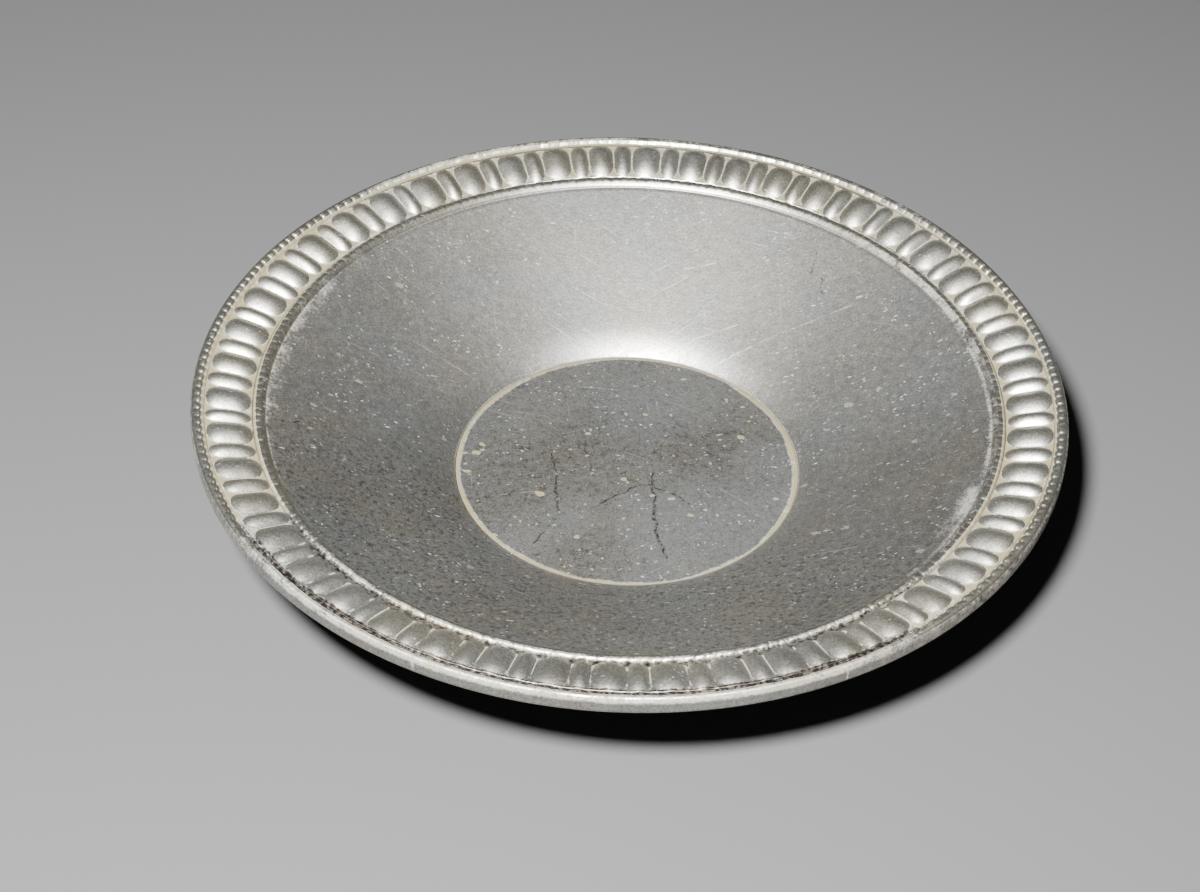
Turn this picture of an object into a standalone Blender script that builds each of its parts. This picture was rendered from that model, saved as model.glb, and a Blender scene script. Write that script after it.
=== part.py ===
"""Offering plate: a small pewter dish with a border of lobes between two rings of beads.

A spun body gives the flared well and a flat brim. A floor disc closes the well, and a low foot ring
under the seam carries the plate. Three strips are soldered round the brim: inner beads, alternately
wide and narrow lobes, and outer beads. A plain band wraps the edge of the brim.
The origin is the middle of the foot ring's bottom face, +Z is up, and all lengths are in metres.
"""

import math

import bpy
import numpy as np

MM = 0.001

# Whole plate
PLATE_RADIUS = 44.0 * MM
PLATE_HEIGHT = 16.0 * MM
SOLDER_GAP = 0.3 * MM
PLAIN_STEPS = 72

# Floor disc
FLOOR_RADIUS = 17.6 * MM
FLOOR_LEVEL = 4.5 * MM
FLOOR_THICKNESS = 1.2 * MM
FLOOR_CHAMFER = 0.2 * MM

# Spun body: the wall of the well leaves the floor steeply, then runs on as a straight cone
WALL_THICKNESS = 1.1 * MM
KICK_WIDTH = 4.0 * MM
KICK_SLOPE = 1.0
BRIM_THICKNESS = 0.9 * MM

# Foot ring
FOOT_HALF_WIDTH = 1.0 * MM
FOOT_CHAMFER = 0.25 * MM
FOOT_SEAT_UNDER_FLOOR = 1.7 * MM
FOOT_SEAT_ALONG_WALL = 0.8 * MM

# Border strips, all soldered to the one sloping line of the border
BORDER_SLOPE = 0.24
STRIP_BASE = 0.45 * MM
BEAD_WIDTH = 1.0 * MM
OUTER_BEAD_RISE = 0.36 * MM
INNER_BEAD_RISE = 0.40 * MM
LOBED_BAND_WIDTH = 4.5 * MM
LOBE_RISE = 0.45 * MM
LOBE_PAIRS = 48
LOBE_STEPS = 6
WIDE_LOBE_SHARE = 0.585

# Rim band
RIM_BAND_THICKNESS = 0.6 * MM
RIM_BAND_HEIGHT = 1.1 * MM
RIM_BAND_PROUD = 0.3 * MM

# Radii from the edge inwards
OUTER_BEADS_OUTSIDE = PLATE_RADIUS - RIM_BAND_PROUD
OUTER_BEADS_INSIDE = OUTER_BEADS_OUTSIDE - BEAD_WIDTH
LOBES_OUTSIDE = OUTER_BEADS_INSIDE - SOLDER_GAP
LOBES_INSIDE = LOBES_OUTSIDE - LOBED_BAND_WIDTH
INNER_BEADS_OUTSIDE = LOBES_INSIDE - SOLDER_GAP
INNER_BEADS_INSIDE = INNER_BEADS_OUTSIDE - BEAD_WIDTH
WALL_OUTSIDE = INNER_BEADS_INSIDE - SOLDER_GAP
WALL_INSIDE = FLOOR_RADIUS + SOLDER_GAP
BRIM_RADIUS = PLATE_RADIUS - RIM_BAND_THICKNESS - SOLDER_GAP


def border_level(radius):
    """Height of the border's sloping line, which falls inwards from under the outer beads."""
    middle_of_beads = OUTER_BEADS_OUTSIDE - BEAD_WIDTH / 2
    return PLATE_HEIGHT - OUTER_BEAD_RISE - BORDER_SLOPE * (middle_of_beads - radius)


def brim_level(radius):
    """Top of the brim, a solder gap below the bases of the strips."""
    return border_level(radius) - STRIP_BASE - SOLDER_GAP


WALL_TOP = border_level(INNER_BEADS_INSIDE)
CONE_SLOPE = (WALL_TOP - FLOOR_LEVEL - KICK_SLOPE * KICK_WIDTH / 3) / (
    WALL_OUTSIDE - WALL_INSIDE - KICK_WIDTH / 3
)


def wall_point(radius):
    """A point of the well's inner face. The slope eases from KICK_SLOPE to CONE_SLOPE as a square law."""
    run = radius - WALL_INSIDE
    share_left = max(0.0, 1 - run / KICK_WIDTH)
    kick_rise = (KICK_SLOPE - CONE_SLOPE) * KICK_WIDTH / 3 * (1 - share_left**3)
    slope = CONE_SLOPE + (KICK_SLOPE - CONE_SLOPE) * share_left**2
    return radius, FLOOR_LEVEL + CONE_SLOPE * run + kick_rise, slope


def below(point, thickness):
    """The point of a wall's outer face that lies straight through the wall from a point of its inner face."""
    radius, height, slope = point
    length = math.hypot(1, slope)
    return radius + thickness * slope / length, height - thickness / length


def arc(centre_radius, centre_height, half_width, rise, first, last, count):
    """Points on an ellipse about a centre, from one angle to another in degrees, 90 being its top."""
    angles = np.radians(np.linspace(first, last, count))
    return [
        (centre_radius + half_width * math.cos(a), centre_height + rise * math.sin(a))
        for a in angles
    ]


def pewter(name, grey, roughness):
    """A plain pewter finish with a faint warm tint."""
    material = bpy.data.materials.new(name)
    material.use_nodes = True
    shader = material.node_tree.nodes["Principled BSDF"]
    shader.inputs["Base Color"].default_value = (grey, grey * 0.97, grey * 0.91, 1)
    shader.inputs["Metallic"].default_value = 1.0
    shader.inputs["Roughness"].default_value = roughness
    return material


def turned(name, profile, material, closed=True, steps=PLAIN_STEPS):
    """A turned piece: its profile of (radius, height) points, clockwise, swept round +Z by a Screw."""
    points = [(radius, 0, height) for radius, height in profile]
    edges = [(i, i + 1) for i in range(len(points) - 1)]
    if closed:
        edges.append((len(points) - 1, 0))
    mesh = bpy.data.meshes.new(name)
    mesh.from_pydata(points, edges, [])
    mesh.materials.append(material)
    piece = bpy.data.objects.new(name, mesh)
    plate.objects.link(piece)
    screw = piece.modifiers.new("Turn", "SCREW")
    screw.axis = "Z"
    screw.steps = steps
    screw.render_steps = steps
    screw.use_merge_vertices = True
    screw.merge_threshold = 0.01 * MM
    screw.use_smooth_shade = True
    return piece


def floor_disc():
    """A flat round blank with a small chamfer round both its edges."""
    bottom = FLOOR_LEVEL - FLOOR_THICKNESS
    profile = [
        (0, FLOOR_LEVEL),
        (FLOOR_RADIUS - FLOOR_CHAMFER, FLOOR_LEVEL),
        (FLOOR_RADIUS, FLOOR_LEVEL - FLOOR_CHAMFER),
        (FLOOR_RADIUS, bottom + FLOOR_CHAMFER),
        (FLOOR_RADIUS - FLOOR_CHAMFER, bottom),
        (0, bottom),
    ]
    return turned("floor_disc", profile, pewter("floor_pewter", 0.42, 0.42), closed=False)


def well_body():
    """The spun body: the well's wall, a rebate for the inner beads, and the brim under the strips."""
    kick = [wall_point(WALL_INSIDE + KICK_WIDTH * share) for share in np.linspace(0, 1, 6)]
    wall = kick + [wall_point(WALL_OUTSIDE)]
    inner_face = [(radius, height) for radius, height, _ in wall]
    brim_top = [(radius, brim_level(radius)) for radius in (WALL_OUTSIDE, BRIM_RADIUS)]
    underside = [below(point, WALL_THICKNESS) for point in wall[:-1]]
    cone_radius, cone_height = underside[-1]
    drop = cone_height - (brim_level(cone_radius) - BRIM_THICKNESS)
    bend_radius = cone_radius - drop / (CONE_SLOPE - BORDER_SLOPE)
    brim_bottom = [(radius, brim_level(radius) - BRIM_THICKNESS) for radius in (BRIM_RADIUS, bend_radius)]
    profile = inner_face + brim_top + brim_bottom + underside[::-1]
    return turned("well_body", profile, pewter("well_pewter", 0.50, 0.36))


def foot_ring():
    """A low ring that stands on the table. Its seat is flat under the floor disc and follows the wall."""
    floor_seat = FLOOR_LEVEL - FLOOR_THICKNESS - SOLDER_GAP
    wall_seat = [
        below(wall_point(WALL_INSIDE + run), WALL_THICKNESS + SOLDER_GAP) for run in (0, FOOT_SEAT_ALONG_WALL)
    ]
    middle = WALL_INSIDE
    inside = middle - FOOT_HALF_WIDTH
    outside = middle + FOOT_HALF_WIDTH
    waist = FOOT_CHAMFER + FOOT_HALF_WIDTH
    profile = [
        (middle - FOOT_SEAT_UNDER_FLOOR, floor_seat),
        (middle, floor_seat),
        *wall_seat,
        (outside, waist),
        (outside, FOOT_CHAMFER),
        (outside - FOOT_CHAMFER, 0),
        (inside + FOOT_CHAMFER, 0),
        (inside, FOOT_CHAMFER),
        (inside, waist),
    ]
    return turned("foot_ring", profile, pewter("foot_pewter", 0.40, 0.46))


def bead_ring(name, outside, rise):
    """A half-round wire with a flat base, the plain outer form of a beaded wire."""
    middle = outside - BEAD_WIDTH / 2
    crown = arc(middle, border_level(middle), BEAD_WIDTH / 2, rise, 180, 0, 5)
    base = [
        (outside, border_level(outside) - STRIP_BASE),
        (outside - BEAD_WIDTH, border_level(outside - BEAD_WIDTH) - STRIP_BASE),
    ]
    return turned(name, crown + base, pewter(name + "_pewter", 0.52, 0.34))


def lobe_swell(angle):
    """1 on the middle of a lobe and 0 in the grooves, round a pair made of a wide and a narrow lobe."""
    place = (angle / (2 * math.pi) * LOBE_PAIRS + WIDE_LOBE_SHARE / 2) % 1.0
    if place < WIDE_LOBE_SHARE:
        across = place / WIDE_LOBE_SHARE
    else:
        across = (place - WIDE_LOBE_SHARE) / (1 - WIDE_LOBE_SHARE)
    return math.sqrt(max(0.0, 1 - (2 * across - 1) ** 2))


def lobed_band():
    """A turned strip whose crown is pressed down between the lobes, along the whole band."""
    middle = (LOBES_OUTSIDE + LOBES_INSIDE) / 2
    half_width = LOBED_BAND_WIDTH / 2
    crown = [
        (radius, height + BORDER_SLOPE * (radius - middle))
        for radius, height in arc(middle, border_level(middle), half_width, LOBE_RISE, 180, 0, 5)
    ]
    base = [(radius, border_level(radius) - STRIP_BASE) for radius in (LOBES_OUTSIDE, LOBES_INSIDE)]
    steps = LOBE_PAIRS * LOBE_STEPS
    band = turned("lobed_band", crown + base, pewter("lobe_pewter", 0.55, 0.30), steps=steps)
    bpy.context.view_layer.update()
    turned_form = band.evaluated_get(bpy.context.evaluated_depsgraph_get())
    band.data = bpy.data.meshes.new_from_object(turned_form)
    band.modifiers.clear()
    pair_angle = 2 * math.pi / LOBE_PAIRS
    groove_place = WIDE_LOBE_SHARE / 2
    groove_step = round(groove_place * LOBE_STEPS) / LOBE_STEPS
    bunching = (groove_step - groove_place) / math.sin(2 * math.pi * groove_step)
    for vertex in band.data.vertices:
        radius = math.hypot(vertex.co.x, vertex.co.y)
        even_angle = math.atan2(vertex.co.y, vertex.co.x)
        angle = even_angle - bunching * pair_angle * math.sin(LOBE_PAIRS * even_angle)
        above = max(0.0, vertex.co.z - border_level(radius))
        vertex.co.x = radius * math.cos(angle)
        vertex.co.y = radius * math.sin(angle)
        vertex.co.z -= above * (1 - lobe_swell(angle))
    return band


def rim_band():
    """A plain band round the edge of the brim, its outer face rounded over at the top and the bottom."""
    inside = PLATE_RADIUS - RIM_BAND_THICKNESS
    top = border_level(inside) - STRIP_BASE - SOLDER_GAP
    middle = top - RIM_BAND_HEIGHT / 2
    outer_face = arc(inside, middle, RIM_BAND_THICKNESS, RIM_BAND_HEIGHT / 2, 80, -80, 7)
    profile = [(inside, top), *outer_face, (inside, top - RIM_BAND_HEIGHT)]
    return turned("rim_band", profile, pewter("rim_pewter", 0.50, 0.36))


for leftover in list(bpy.data.objects):
    bpy.data.objects.remove(leftover)
plate = bpy.data.collections.new("offering_plate")
bpy.context.scene.collection.children.link(plate)

floor_disc()
well_body()
foot_ring()
bead_ring("inner_bead_ring", INNER_BEADS_OUTSIDE, INNER_BEAD_RISE)
lobed_band()
bead_ring("outer_bead_ring", OUTER_BEADS_OUTSIDE, OUTER_BEAD_RISE)
rim_band()
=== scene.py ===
import math

import bpy
import numpy as np
from mathutils import Matrix, Vector


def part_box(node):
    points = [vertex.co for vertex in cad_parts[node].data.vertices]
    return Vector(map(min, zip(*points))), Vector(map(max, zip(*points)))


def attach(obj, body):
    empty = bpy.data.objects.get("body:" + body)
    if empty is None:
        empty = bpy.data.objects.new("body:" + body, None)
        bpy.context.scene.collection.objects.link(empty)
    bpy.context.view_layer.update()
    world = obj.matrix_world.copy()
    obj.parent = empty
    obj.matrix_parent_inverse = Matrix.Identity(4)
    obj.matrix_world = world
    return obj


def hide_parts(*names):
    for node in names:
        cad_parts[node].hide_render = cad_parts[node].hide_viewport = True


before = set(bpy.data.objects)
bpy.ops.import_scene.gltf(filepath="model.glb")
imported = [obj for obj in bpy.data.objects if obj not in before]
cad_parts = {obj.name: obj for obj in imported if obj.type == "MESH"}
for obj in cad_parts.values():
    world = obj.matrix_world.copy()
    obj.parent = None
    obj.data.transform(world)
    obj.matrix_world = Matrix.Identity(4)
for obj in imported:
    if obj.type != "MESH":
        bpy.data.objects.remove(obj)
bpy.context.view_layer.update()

MM = 0.001

# ---------------------------------------------------------------- table, light and camera
# The plate stands on a plain pale table top. One small soft box stands just left of the viewer
# and above eye level, so that the far side of the well and the near flanks of the lobes catch it.
TABLE_HALF = 1.5
bpy.ops.mesh.primitive_plane_add(size=2 * TABLE_HALF, location=(0, 0, 0))
table = bpy.context.object
table.name = "table_top"
table_paint = bpy.data.materials.new("table_paint")
table_paint.use_nodes = True
table_shader = table_paint.node_tree.nodes["Principled BSDF"]
table_shader.inputs["Base Color"].default_value = (0.045, 0.045, 0.0455, 1)
table_shader.inputs["Roughness"].default_value = 0.9
table_shader.inputs["Specular IOR Level"].default_value = 0.2
table.data.materials.append(table_paint)

room = bpy.data.worlds.new("studio")
room.use_nodes = True
room.node_tree.nodes["Background"].inputs["Color"].default_value = (0.93, 0.95, 1.0, 1)
room.node_tree.nodes["Background"].inputs["Strength"].default_value = 0.10
bpy.context.scene.world = room


def soft_box(name, place, size, power):
    """A round area light that looks at the middle of the plate."""
    lamp = bpy.data.lights.new(name, "AREA")
    lamp.shape = "DISK"
    lamp.size = size
    lamp.energy = power
    holder = bpy.data.objects.new(name, lamp)
    holder.location = place
    holder.rotation_euler = (-Vector(place)).to_track_quat("-Z", "Y").to_euler()
    bpy.context.scene.collection.objects.link(holder)


soft_box("key_light", (-0.041, -0.177, 0.233), 0.032, 11.6)

CAMERA_PLACE = Vector((0.0, -0.1954, 0.1767))
CAMERA_AIM = Vector((-0.0027, -0.0097, 0.0155))
CAMERA_ROLL = math.radians(1.6)
lens = bpy.data.cameras.new("camera")
lens.lens = 75.3
lens.sensor_width = 36
lens.clip_start = 0.01
camera = bpy.data.objects.new("camera", lens)
camera.location = CAMERA_PLACE
look = (CAMERA_AIM - CAMERA_PLACE).to_track_quat("-Z", "Y").to_matrix()
camera.rotation_euler = (look @ Matrix.Rotation(CAMERA_ROLL, 3, "Z")).to_euler()
bpy.context.scene.collection.objects.link(camera)
bpy.context.scene.camera = camera


# ---------------------------------------------------------------- floor disc
# The flat bottom of the dish: a round blank of pewter, set in the mouth of the spun body. Its face
# is duller than the well, scuffed by what was laid in it, and old polish has dried round its edge.
floor_low, floor_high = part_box("floor_disc")
FLOOR_RADIUS = floor_high.x
FLOOR_TOP = floor_high.z
FLOOR_BOTTOM = floor_low.z
SEAM_RADIUS = FLOOR_RADIUS + 0.14 * MM
SEAM_SLIT = 0.01 * MM


def rounded(corners, arc_points=6):
    """An outline of (radius, height, rounding) corners. Each corner becomes a parabola that starts
    and ends one rounding away from it on its two edges: p0 (1-t)^2 + 2 corner t (1-t) + p1 t^2."""
    points = np.array([corner[:2] for corner in corners])
    cut = np.array([corner[2] for corner in corners])[:, None]
    to_last = np.roll(points, 1, axis=0) - points
    to_next = np.roll(points, -1, axis=0) - points
    start = points + cut * to_last / np.linalg.norm(to_last, axis=1, keepdims=True)
    end = points + cut * to_next / np.linalg.norm(to_next, axis=1, keepdims=True)
    t = np.linspace(0, 1, arc_points)[None, :, None]
    arcs = start[:, None] * (1 - t) ** 2 + 2 * points[:, None] * t * (1 - t) + end[:, None] * t**2
    keep = np.ones((len(corners), arc_points), bool)
    keep[cut[:, 0] == 0, 1:] = False
    return arcs[keep]


def swept(name, radius, height, angle, material, **stains):
    """A closed skin round +Z. radius and height are grids of rows down the outline and columns
    round the plate, x = radius cos(angle), y = radius sin(angle). Rows of no radius at both ends
    are poles, and an outline without poles closes on itself. Each stain is a grid from 0 to 1
    that the finish reads: one for dried polish and pale films of painted highlight, one for dark
    dirt and painted shade."""
    rows, columns = radius.shape
    poled = bool(np.all(radius[0] == 0))
    grid = np.stack([radius * np.cos(angle), radius * np.sin(angle), height], axis=-1)
    across = np.arange(columns)
    beside = (across + 1) % columns
    if poled:
        points = np.concatenate([grid[:1, 0], grid[1:-1].reshape(-1, 3), grid[-1:, 0]])
        down = np.arange(rows - 3)[:, None] * columns + 1
        low = down + columns
        last = len(points) - 1
        first_ring = 1 + across
        last_ring = 1 + (rows - 3) * columns + across
        caps = [
            np.stack([np.zeros_like(across), first_ring, 1 + beside], axis=-1),
            np.stack([np.full_like(across, last), 1 + (rows - 3) * columns + beside, last_ring], axis=-1),
        ]
    else:
        points = grid.reshape(-1, 3)
        down = np.arange(rows)[:, None] * columns
        low = np.roll(down, -1, axis=0)
        caps = []
    quads = np.stack([down + across, low + across, low + beside, down + beside], axis=-1).reshape(-1, 4)
    faces = [quads, *caps]
    loops = np.concatenate([face.ravel() for face in faces])
    sizes = np.concatenate([np.full(len(face), face.shape[1]) for face in faces])
    mesh = bpy.data.meshes.new(name)
    mesh.vertices.add(len(points))
    mesh.vertices.foreach_set("co", points.astype(np.float32).ravel())
    mesh.loops.add(len(loops))
    mesh.loops.foreach_set("vertex_index", loops.astype(np.int32))
    mesh.polygons.add(len(sizes))
    mesh.polygons.foreach_set("loop_start", np.concatenate([[0], np.cumsum(sizes)[:-1]]).astype(np.int32))
    mesh.update(calc_edges=True)
    mesh.validate()
    mesh.shade_smooth()
    for stain_name in ("polish", "dirt"):
        stain = stains.get(stain_name, np.zeros(radius.shape))
        if poled:
            stain = np.concatenate([stain[:1, 0], stain[1:-1].ravel(), stain[-1:, 0]])
        layer = mesh.attributes.new(stain_name, "FLOAT", "POINT")
        layer.data.foreach_set("value", stain.astype(np.float32).ravel())
    mesh.materials.append(material)
    piece = bpy.data.objects.new(name, mesh)
    bpy.context.scene.collection.objects.link(piece)
    return piece


def turned(name, outline, columns, material, **stains):
    """A turned piece: the same (radius, height) outline at every angle. Each stain is a function of
    radius, height and the turn in degrees."""
    angle = np.linspace(0, 2 * np.pi, columns, endpoint=False)[None, :]
    radius = np.repeat(outline[:, :1], columns, axis=1)
    height = np.repeat(outline[:, 1:], columns, axis=1)
    grids = {key: stain(radius, height, np.degrees(angle)) for key, stain in stains.items()}
    return swept(name, radius, height, angle, material, **grids)


def stand_for(piece, node):
    """Puts a finished piece in the place of its solid."""
    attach(piece, "root")
    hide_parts(node)


def smooth_step(value, low, high):
    """0 below low, 1 above high, and a cubic between: 3 t^2 - 2 t^3."""
    t = np.clip((value - low) / (high - low), 0, 1)
    return t * t * (3 - 2 * t)


def new_group(name, sockets_in, sockets_out):
    """An empty shader node group. Sockets are (name, kind, value), kind being Float, Color or Vector."""
    group = bpy.data.node_groups.new(name, "ShaderNodeTree")
    for socket_name, kind, value in sockets_in:
        socket = group.interface.new_socket(socket_name, in_out="INPUT", socket_type="NodeSocket" + kind)
        if value is not None:
            socket.default_value = value
    for socket_name, kind in sockets_out:
        group.interface.new_socket(socket_name, in_out="OUTPUT", socket_type="NodeSocket" + kind)
    return group, group.nodes.new("NodeGroupInput"), group.nodes.new("NodeGroupOutput")


def node(tree, kind, inputs=None, **settings):
    """Adds a node, sets its properties, and links or sets its inputs by name or number."""
    made = tree.nodes.new("ShaderNode" + kind)
    for key, value in settings.items():
        setattr(made, key, value)
    for key, value in (inputs or {}).items():
        if isinstance(value, bpy.types.NodeSocket):
            tree.links.new(value, made.inputs[key])
        else:
            made.inputs[key].default_value = value
    return made


def maths(tree, operation, first, second=0.0, third=0.0):
    """One step of arithmetic on sockets or numbers."""
    return node(tree, "Math", {0: first, 1: second, 2: third}, operation=operation).outputs[0]


def ramp(tree, value, low, high, to_low=0.0, to_high=1.0):
    """value mapped from low..high to to_low..to_high with a smooth step, held at both ends."""
    sockets = {"Value": value, "From Min": low, "From Max": high, "To Min": to_low, "To Max": to_high}
    return node(tree, "MapRange", sockets, interpolation_type="SMOOTHSTEP").outputs[0]


def noise(tree, place, scale, detail=2.0, roughness=0.5):
    """Fractal noise between 0 and 1 on the piece's own coordinates, scale in features per metre."""
    sockets = {"Vector": place, "Scale": scale, "Detail": detail, "Roughness": roughness}
    return node(tree, "TexNoise", sockets).outputs["Fac"]


def blended(tree, share, first, second, **settings):
    """Two colours mixed by a share, 0 being all of the first."""
    return node(tree, "Mix", {0: share, 6: first, 7: second}, data_type="RGBA", **settings).outputs[2]


def add_group(tree, group, inputs):
    """Adds a node of a group, with its inputs linked or set by name."""
    made = node(tree, "Group", node_tree=group)
    for key, value in inputs.items():
        if isinstance(value, bpy.types.NodeSocket):
            tree.links.new(value, made.inputs[key])
        else:
            made.inputs[key].default_value = value
    return made


# Nicks: one short dent in each cell of a stretched cell pattern, turned by an angle. Cells whose
# random red is above Keep stay empty, and random green sets how big the dent is.
nicks, nicks_in, nicks_out = new_group(
    "nicks",
    [
        ("Place", "Vector", None), ("Turn", "Float", 0.0), ("Long", "Float", 200.0),
        ("Short", "Float", 900.0), ("Size", "Float", 0.12), ("Keep", "Float", 0.5),
    ],
    [("Mask", "Float")],
)
turn_about = node(
    nicks, "VectorRotate", {"Vector": nicks_in.outputs["Place"], "Angle": nicks_in.outputs["Turn"]},
    rotation_type="Z_AXIS",
)
stretch = node(nicks, "CombineXYZ", {0: nicks_in.outputs["Long"], 1: nicks_in.outputs["Short"], 2: 1.0})
stretched = node(nicks, "VectorMath", {0: turn_about.outputs[0], 1: stretch.outputs[0]}, operation="MULTIPLY")
cells = node(
    nicks, "TexVoronoi", {"Vector": stretched.outputs[0], "Scale": 1.0, "Randomness": 1.0},
    voronoi_dimensions="2D",
)
chance = node(nicks, "SeparateColor", {0: cells.outputs["Color"]})
reach = maths(nicks, "MULTIPLY", nicks_in.outputs["Size"], maths(nicks, "ADD", chance.outputs[1], 0.4))
dent = ramp(nicks, cells.outputs["Distance"], maths(nicks, "MULTIPLY", reach, 0.1), reach, 1.0, 0.0)
kept = maths(nicks, "LESS_THAN", chance.outputs[0], nicks_in.outputs["Keep"])
nicks.links.new(maths(nicks, "MULTIPLY", dent, kept), nicks_out.inputs["Mask"])


def layered(tree, layers, from_place):
    """The strongest of several layers of nicks, each (turn, long, short, size, keep)."""
    strongest = 0.0
    for layer_turn, layer_long, layer_short, size, keep in layers:
        layer = {"Place": from_place, "Turn": layer_turn, "Long": layer_long, "Short": layer_short}
        mask = add_group(tree, nicks, {**layer, "Size": size, "Keep": keep}).outputs[0]
        strongest = maths(tree, "MAXIMUM", strongest, mask)
    return strongest


# Pewter skin: a soft mottle and fine grain, short nicks in several directions and a few faint
# scratches. Tone is the place between dull and bright, Shine is taken off the roughness, the nick
# mark is where a nick is painted pale as a painted glint, and Tint drifts between warm and cool.
skin, skin_in, skin_out = new_group(
    "pewter_skin",
    [("Place", "Vector", None), ("Marks", "Float", 1.0), ("Mottle", "Float", 1.0)],
    [("Tone", "Float"), ("Shine", "Float"), ("Height", "Float"), ("Glint", "Float"), ("Tint", "Color")],
)
place = skin_in.outputs["Place"]
NICK_LAYERS = [
    (0.10, 480, 1900, 0.17, 0.05), (0.60, 800, 2300, 0.17, 0.09), (2.80, 600, 2100, 0.17, 0.06),
    (3.05, 1000, 2500, 0.19, 0.10), (1.60, 1300, 2000, 0.17, 0.06),
]
SCRATCH_LAYERS = [(0.45, 60, 1600, 0.16, 0.16), (2.65, 50, 1500, 0.15, 0.14), (1.5, 90, 1700, 0.16, 0.10)]
bend = node(skin, "TexNoise", {"Vector": place, "Scale": 60.0, "Detail": 1.0})
bend_size = (0.003, 0.003, 0.0)
bent = node(skin, "VectorMath", {0: bend.outputs["Color"], 1: bend_size, 2: place}, operation="MULTIPLY_ADD")
nick_mask = layered(skin, NICK_LAYERS, bent.outputs[0])
scratch_mask = layered(skin, SCRATCH_LAYERS, bent.outputs[0])
broad = noise(skin, place, 70.0, 3.0)
cloud = noise(skin, place, 1100.0, 3.0, 0.65)
grain = noise(skin, place, 4500.0, 3.0, 0.7)
sparse = ramp(skin, noise(skin, place, 230.0, 3.0), 0.47, 0.64)
# Painted glints: some nicks are painted pale, as if they caught the light.
nick_glints = maths(skin, "MULTIPLY", nick_mask, ramp(skin, grain, 0.35, 0.65, 0.25, 1.0))
nick_glints = maths(skin, "MULTIPLY", nick_glints, ramp(skin, sparse, 0.0, 1.0, 0.15, 1.0))
nick_glints = maths(skin, "MULTIPLY", nick_glints, skin_in.outputs["Marks"])
skin.links.new(nick_glints, skin_out.inputs["Glint"])
broad_clouds = ramp(skin, broad, 0.3, 0.7, -0.12, 0.12)
fine_clouds = ramp(skin, cloud, 0.3, 0.7, -0.22, 0.22)
clouds = maths(skin, "MULTIPLY", maths(skin, "ADD", broad_clouds, fine_clouds), skin_in.outputs["Mottle"])
tone = maths(skin, "ADD", clouds, ramp(skin, grain, 0.3, 0.7, 0.10, 0.90))
scratch_tone = maths(skin, "MULTIPLY", scratch_mask, skin_in.outputs["Marks"])
skin.links.new(maths(skin, "MULTIPLY_ADD", scratch_tone, 0.5, tone), skin_out.inputs["Tone"])
skin.links.new(ramp(skin, cloud, 0.3, 0.7, -0.04, 0.04), skin_out.inputs["Shine"])
relief = maths(skin, "MULTIPLY_ADD", grain, 0.6, cloud)
skin.links.new(maths(skin, "MULTIPLY_ADD", scratch_tone, -0.25, relief), skin_out.inputs["Height"])
drift = ramp(skin, noise(skin, place, 110.0, 3.0), 0.35, 0.65)
WARM_TINT = (1.02, 1.0, 0.95, 1)
COOL_TINT = (0.97, 1.0, 1.03, 1)
skin.links.new(blended(skin, drift, WARM_TINT, COOL_TINT), skin_out.inputs["Tint"])

# Dried polish and painted highlight: cream powder left in the creases, where the stain value is
# high, with a ragged edge, and crumbs of it in patches. The same cream laid as a thin film on some
# sides of the wires and the rim is a painted highlight. It is darker where it is thin.
cream_coat, cream_coat_in, cream_coat_out = new_group(
    "dried_polish",
    [("Place", "Vector", None), ("Stain", "Float", 0.0), ("Crumbs", "Float", 0.0)],
    [("Mask", "Float"), ("Color", "Color")],
)
ragged = noise(cream_coat, cream_coat_in.outputs["Place"], 3000.0, 3.0, 0.65)
patchy = noise(cream_coat, cream_coat_in.outputs["Place"], 500.0, 2.0)
ragged_edge = maths(cream_coat, "SUBTRACT", ragged, 0.5)
filled = maths(cream_coat, "ADD", ragged_edge, cream_coat_in.outputs["Stain"])
filled = maths(cream_coat, "MULTIPLY_ADD", maths(cream_coat, "SUBTRACT", patchy, 0.5), 0.8, filled)
coat = ramp(cream_coat, filled, 0.20, 0.85)
coat = maths(cream_coat, "MULTIPLY", coat, ramp(cream_coat, cream_coat_in.outputs["Stain"], 0.0, 0.7, 0.0, 0.95))
CRUMB_LAYERS = [(0.2, 380, 620, 0.24, 0.13), (2.9, 560, 1000, 0.18, 0.16), (1.2, 900, 1300, 0.19, 0.20)]
crumbs = layered(cream_coat, CRUMB_LAYERS, cream_coat_in.outputs["Place"])
crumbs = maths(cream_coat, "MULTIPLY", crumbs, ramp(cream_coat, patchy, 0.46, 0.60))
crumbs = ramp(cream_coat, maths(cream_coat, "MULTIPLY_ADD", ragged_edge, 1.3, crumbs), 0.2, 0.5)
crumbs = maths(cream_coat, "MULTIPLY", crumbs, cream_coat_in.outputs["Crumbs"])
cream_coat.links.new(maths(cream_coat, "MAXIMUM", coat, crumbs), cream_coat_out.inputs["Mask"])
# Cream colours of dried polish, also laid thin as painted highlight.
THIN_POWDER_AND_HIGHLIGHT = (0.048, 0.039, 0.021, 1)
THICK_POWDER_AND_HIGHLIGHT = (0.084, 0.071, 0.036, 1)
thick = maths(cream_coat, "MAXIMUM", ramp(cream_coat, filled, 0.2, 0.9), crumbs)
cream_coat.links.new(blended(cream_coat, thick, THIN_POWDER_AND_HIGHLIGHT, THICK_POWDER_AND_HIGHLIGHT), cream_coat_out.inputs["Color"])

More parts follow.
